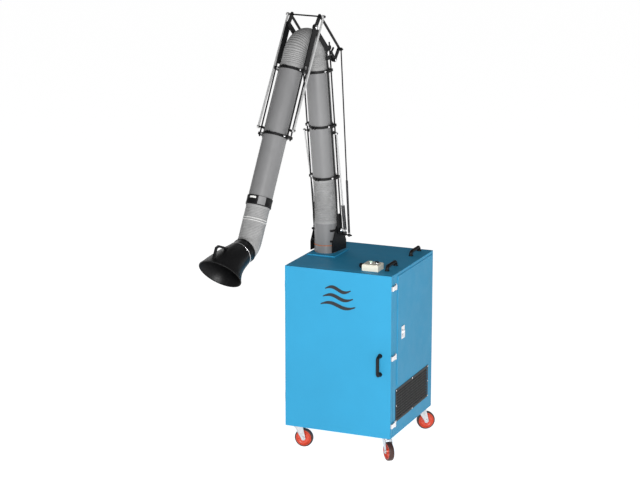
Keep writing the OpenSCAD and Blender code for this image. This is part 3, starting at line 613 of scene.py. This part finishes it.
# the handle's legs carry on down to the hood's curved side
HANDLE_AT = (0.970, 0.203)
HANDLE_FORWARD = (math.cos(math.radians(20)), -math.sin(math.radians(20)))
for k, middle in enumerate((-0.0505, 0.0505)):
    verts = []
    for up in (-0.028, -0.010):
        for along in (middle - 0.0052, middle + 0.0052):
            for x in (-0.0058, 0.0058):
                verts.append(arm(HANDLE_AT[0] + along * HANDLE_FORWARD[0] - up * HANDLE_FORWARD[1],
                                 HANDLE_AT[1] + along * HANDLE_FORWARD[1] + up * HANDLE_FORWARD[0], x))
    leg = new_object(f"hood_handle_leg_{k + 1}", verts,
                     [(0, 1, 3, 2), (4, 6, 7, 5), (0, 4, 5, 1), (2, 3, 7, 6), (0, 2, 6, 4), (1, 5, 7, 3)],
                     HOOD_BLACK, smooth=False)
    settle(leg, "hood", "black_plastic")


# ------------------------------------------------------------------ springs
def helix(start, end, radius, wire, pitch, side_axis, per_turn=14, sides=6, lead=0.0):
    axis = (end - start).normalized()
    x = side_axis - axis * side_axis.dot(axis)
    x.normalize()
    y = axis.cross(x)
    length = (end - start).length
    count = int(length / pitch * per_turn)
    pts = []
    for i in range(count + 1):
        a = 2 * math.pi * i / per_turn
        pts.append(start + axis * (length * i / count) + (x * math.cos(a) + y * math.sin(a)) * radius)
    return pts


SPRING_EYE = (-0.055, 0.105)
for side, sign in (("right", 1), ("left", -1)):
    low = arm(SPRING_EYE[0], SPRING_EYE[1], sign * 0.088)
    high = on_lower(0.543, 0.009, sign * 0.101)
    axis = (high - low).normalized()
    coil = sweep(f"balance_coil_{side}", helix(low + axis * 0.020, low + axis * 0.160, 0.0086, 0.0015,
        0.0039, SIDE),
                 0.0015, SPRING, sides=6)
    rod = sweep(f"balance_rod_{side}", [low + axis * 0.007, low + axis * 0.30, high - axis * 0.007], 0.0040,
                SILVER_ROD, sides=20)
    sharpen(rod, 40)
    for tag, at in (("low", low), ("high", high)):
        eye = lathe(f"balance_eye_{tag}_{side}", [(0.0045, -0.0048), (0.0085, -0.0048), (0.0090, -0.0042),
                                                 (0.0090, 0.0042), (0.0085, 0.0048), (0.0045, 0.0048)],
                    axes(at, SIDE), CHROME if tag == "high" else SPRING, segs=36)
        sharpen(eye, 40)
        settle(eye, "turret" if tag == "low" else "lower_arm", "spring_steel")
    for piece in (coil, rod):
        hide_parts("balance_springs")
        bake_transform(piece)

rear_eye = arm(-0.075, 0.090, 0.100)
rocker_tip = arm(0.012, 1.106, 0.100)
rear_axis = (rocker_tip - rear_eye).normalized()
rear_top = (rocker_tip - rear_eye).length - 0.760 + 0.046
coil = sweep("rear_coil", helix(rear_eye + rear_axis * 0.012, rear_eye + rear_axis * rear_top, 0.0052,
    0.0013, 0.0030,
                                SIDE), 0.0013, SPRING, sides=6)
settle(coil, "rear_spring", "spring_steel", "rear_spring")
sleeve = lathe("rear_spring_eye", [(0.0042, -0.0050), (0.0085, -0.0050), (0.0090, -0.0044), (0.0090, 0.0044),
                                   (0.0085, 0.0050), (0.0042, 0.0050)], axes(rear_eye, SIDE), SPRING, segs=36)
sharpen(sleeve, 40)
settle(sleeve, "rear_spring", "spring_steel")
soften("rear_rod", width=0.0005)


# ------------------------------------------------------------------ wheels
CASTERS = {"front_left": (-0.255, -0.250, 8), "front_right": (0.255, -0.250, -47),
           "rear_left": (-0.255, 0.264, 20), "rear_right": (0.250, 0.264, 35)}
TRAIL, WHEEL_R, WHEEL_W = 0.036, 0.050, 0.028
for name, (x, y, head) in CASTERS.items():
    h = math.radians(head)
    centre = Vector((x + TRAIL * math.cos(h), y + TRAIL * math.sin(h), WHEEL_R))
    axle = Vector((-math.sin(h), math.cos(h), 0))
    place = axes(centre, axle, Vector((math.cos(h), math.sin(h), 0)))
    w = WHEEL_W / 2
    disc = [(0.0052, -w - 0.002), (0.0120, -w - 0.002), (0.0132, -w + 0.001), (0.0150, -0.0062), (0.0180,
        -0.0055),
            (0.0300, -0.0055), (0.0335, -0.0065), (0.0375, -w + 0.003), (0.0390, -w + 0.0005), (0.0420, -w),
            (0.0424, -w + 0.001), (0.0424, w - 0.001), (0.0420, w), (0.0390, w - 0.0005), (0.0375, w - 0.003),
            (0.0335, 0.0065), (0.0300, 0.0055), (0.0180, 0.0055), (0.0150, 0.0062), (0.0132, w - 0.001),
            (0.0120, w + 0.002), (0.0052, w + 0.002)]
    hub = lathe(f"wheel_hub_{name}", disc, place, WHEEL_RED, segs=72)
    sharpen(hub, 42)
    tread = [(0.0425, -w + 0.0008), (0.0462, -w + 0.0002), (0.0484, -w + 0.0016), (0.0496, -w + 0.0045),
             (0.0500, -0.004), (0.0500, 0.004), (0.0496, w - 0.0045), (0.0484, w - 0.0016), (0.0462,
             w - 0.0002),
             (0.0425, w - 0.0008)]
    tyre = lathe(f"wheel_tyre_{name}", tread, place, TYRE, segs=96)
    settle(hub, f"wheel_{name}", "wheel_plastic", f"wheel_{name}")
    settle(tyre, f"wheel_{name}", "wheel_plastic")
    bm = bmesh.new()
    for k in range(5):
        turn = Matrix.Rotation(2 * math.pi * k / 5 + 0.3, 4, "Z")
        rounded_box(bm, (0.0140, -0.0022, -0.0088), (0.0345, 0.0022, 0.0088), 0.0012, place @ turn)
    finish_bm(f"wheel_ribs_{name}", bm, WHEEL_RED, f"wheel_{name}", "wheel_plastic")


# ------------------------------------------------------------------ screws, bolts and small trim
def hex_head(name, at, out, radius, height, mat, body, slot):
    """A hexagon bolt head on a round washer, standing on the point at and facing out."""
    place = axes(at, out)
    bm = bmesh.new()
    for sides, r, z0, z1 in ((36, radius * 1.35, 0, height * 0.28), (6, radius, height * 0.28, height)):
        made = bmesh.ops.create_cone(bm, cap_ends=True, segments=sides, radius1=r, radius2=r * 0.97,
            depth=z1 - z0)
        bmesh.ops.translate(bm, verts=made["verts"], vec=(0, 0, (z0 + z1) / 2))
    edges = [e for e in bm.edges if e.calc_face_angle(0) > 0.6]
    bmesh.ops.bevel(bm, geom=edges, offset=height * 0.07, segments=2, affect="EDGES", profile=0.5)
    bmesh.ops.transform(bm, matrix=place, verts=bm.verts)
    return finish_bm(name, bm, mat, body, slot)


for side, sign in (("right", 1), ("left", -1)):
    out = SIDE * sign
    hex_head(f"shoulder_bolt_{side}", arm(*SHOULDER, sign * 0.0858), out, 0.0085, 0.006, CHROME, "turret",
        "bright_metal")
    hex_head(f"elbow_bolt_{side}", arm(*ELBOW, sign * 0.0918), out, 0.0085, 0.006, CHROME, "lower_arm",
        "bright_metal")
    hex_head(f"rocker_bolt_{side}", arm(0.049, 1.054, sign * 0.0918), out, 0.0060, 0.0045, CHROME,
        "lower_arm",
             "bright_metal")
    for k, z in enumerate(LOWER_RINGS):
        hex_head(f"lower_screw_{side}_{k + 1}", on_lower(z, 0.0242, sign * 0.066), heading((LOWER_DIR[1],
            -LOWER_DIR[0])),
                 0.0045, 0.004, CHROME, "lower_arm", "bright_metal")
    for k, z in enumerate(OUTER_RINGS):
        hex_head(f"outer_screw_{side}_{k + 1}", on_outer(z, 0.0242, sign * 0.070),
                 heading((-OUTER_DIR[1], OUTER_DIR[0])), 0.0045, 0.004, CHROME, "outer_arm", "bright_metal")

# cuff: black band with a pale middle stretch and a blank label window
cuff_top, cuff_low = CUFF_TOP, OUTER_TUBE_END
cuff_axis = axes(on_outer(cuff_low), -outer_axis, SIDE)
h = cuff_low - cuff_top
cuff = lathe("cuff_band", [(0.0626, 0), (0.0655, 0), (0.0664, 0.0012), (0.0664, 0.010), (0.0658, 0.012),
    (0.0658, h - 0.012),
                           (0.0664, h - 0.010), (0.0664, h - 0.0012), (0.0655, h), (0.0626, h)], cuff_axis,
                           BLACK_PLASTIC,
             segs=96)
sharpen(cuff, 40)
settle(cuff, "outer_arm", "black_plastic", "hose_cuff")


def curved_patch(name, r, z0, z1, a0, a1, mat, thick=0.0006):
    """A thin plate that follows the cuff, from angle a0 to a1 about the outer arm's axis."""
    cols = 24
    verts, faces = [], []
    for layer in (0, thick):
        for z in (z0, z1):
            for k in range(cols + 1):
                a = a0 + (a1 - a0) * k / cols
                verts.append(cuff_axis @ Vector(((r + layer) * math.cos(a), (r + layer) * math.sin(a), z)))
    n = cols + 1
    for k in range(cols):
        faces.append((k, k + 1, n + k + 1, n + k))
        faces.append((2 * n + k, 3 * n + k, 3 * n + k + 1, 2 * n + k + 1))
        faces.append((k, 2 * n + k, 2 * n + k + 1, k + 1))
        faces.append((n + k, n + k + 1, 3 * n + k + 1, 3 * n + k))
    faces.append((0, n, 3 * n, 2 * n))
    faces.append((cols, 2 * n + cols, 3 * n + cols, n + cols))
    o = new_object(name, verts, faces, mat, smooth=True)
    sharpen(o, 40)
    return settle(o, "outer_arm", "black_plastic")


# the grey stretch and the small blank label on the side of the cuff that faces front and right
curved_patch("cuff_window", 0.0665, 0.005, h - 0.0015, math.radians(-64), math.radians(-29), TUBE_GREY)
curved_patch("cuff_label", 0.0665, 0.031, 0.041, math.radians(-106), math.radians(-75), LABEL)

# switch box: button bezels and lid screws
for x, tag in ((0.142, "start"), (0.176, "stop")):
    bezel = lathe(f"bezel_{tag}", [(0.0095, 0), (0.0132, 0), (0.0132, 0.0016), (0.0124, 0.0026), (0.0102,
        0.0026),
                                   (0.0095, 0.0018)], Matrix.Translation((x, -0.200, 1.042)), CHROME, segs=48)
    sharpen(bezel, 40)
    settle(bezel, "cabinet", "bright_metal")
for k, (x, y) in enumerate(((0.121, -0.243), (0.193, -0.243), (0.121, -0.181), (0.193, -0.181))):
    hex_head(f"lid_screw_{k + 1}", Vector((x, y, 1.0418)), UP, 0.0026, 0.0018, ZINC, "cabinet",
        "bright_metal")

# generic airflow mark on the door: three rising waves, raised as thick ink
mark_y = -0.3100
for k in range(3):
    pts = []
    width = 0.196 - 0.026 * k
    for i in range(41):
        s = i / 40
        pts.append(Vector((0.002 - width / 2 + width * s, mark_y - 0.0002,
                           0.822 + 0.043 * k + 0.012 * math.sin(2 * math.pi * s))))
    verts, faces = [], []
    for i, p in enumerate(pts):
        taper = 0.0105 * (0.25 + 0.75 * math.sin(math.pi * (i + 0.5) / 41))
        for dz, dy in ((-taper, 0), (taper, 0), (taper, -0.0004), (-taper, -0.0004)):
            verts.append(p + Vector((0, dy, dz)))
    for i in range(40):
        for c in range(4):
            d = (c + 1) % 4
            faces.append((i * 4 + c, i * 4 + d, i * 4 + 4 + d, i * 4 + 4 + c))
    faces += [(0, 1, 2, 3), (163, 162, 161, 160)]
    wave = new_object(f"airflow_mark_{k + 1}", verts, faces, MARK, smooth=False)
    settle(wave, "door", "black_paint")

# dark mat behind the outlet grille
bm = bmesh.new()
rounded_box(bm, (0.2955, -0.225, 0.214), (0.2985, 0.233, 0.366), 0.001)
finish_bm("outlet_mat", bm, GASKET, "cabinet", "seal_rubber")

# ------------------------------------------------------------------ floor, light and camera
floor_mat = bpy.data.materials.new("studio_floor")
floor_mat.use_nodes = True
fb = floor_mat.node_tree.nodes["Principled BSDF"]
fb.inputs["Base Color"].default_value = (0.50, 0.50, 0.50, 1)
fb.inputs["Roughness"].default_value = 0.9
fb.inputs["Emission Color"].default_value = (1, 1, 1, 1)
fb.inputs["Emission Strength"].default_value = 0.93
floor = new_object("studio_floor", [(-60, -60, 0), (60, -60, 0), (60, 60, 0), (-60, 60, 0)], [(0, 1, 2, 3)],
    floor_mat)

world = bpy.data.worlds.new("studio")
bpy.context.scene.world = world
world.use_nodes = True
world.node_tree.nodes["Background"].inputs[0].default_value = (1, 1, 1, 1)
world.node_tree.nodes["Background"].inputs[1].default_value = 0.12


def area(name, at, towards, size, power, tint=(1, 1, 1)):
    data = bpy.data.lights.new(name, "AREA")
    data.shape = "RECTANGLE"
    data.size, data.size_y = size
    data.energy = power
    data.color = tint
    o = bpy.data.objects.new(name, data)
    bpy.context.scene.collection.objects.link(o)
    o.location = at
    o.rotation_mode = "QUATERNION"
    o.rotation_quaternion = (Vector(towards) - Vector(at)).to_track_quat("-Z", "Y")
    return o


area("key", (1.9, -4.94, 2.12), (0, 0, 0.9), (2.2, 2.2), 270)
area("fill", (5.0, -2.0, 3.0), (0, 0, 1.2), (3.0, 3.0), 25)
area("rim", (-3.5, 3.0, 3.2), (0, 0, 1.6), (2.0, 3.0), 30)

AZ, EL = math.radians(23.16), math.radians(13.57)
back = Vector((math.sin(AZ) * math.cos(EL), -math.cos(AZ) * math.cos(EL), math.sin(EL)))
right = Vector((math.cos(AZ), math.sin(AZ), 0))
cam_up = back.cross(right)
cam_data = bpy.data.cameras.new("camera")
cam_data.sensor_width = 36.0
cam_data.lens = 112.5
cam_data.clip_end = 200
cam = bpy.data.objects.new("camera", cam_data)
bpy.context.scene.collection.objects.link(cam)
m = Matrix((right, cam_up, back)).transposed().to_4x4()
m.translation = Vector((3.865, -9.577, 3.597))
cam.matrix_world = m
bpy.context.scene.camera = cam
bpy.context.scene.view_settings.view_transform = "Standard"
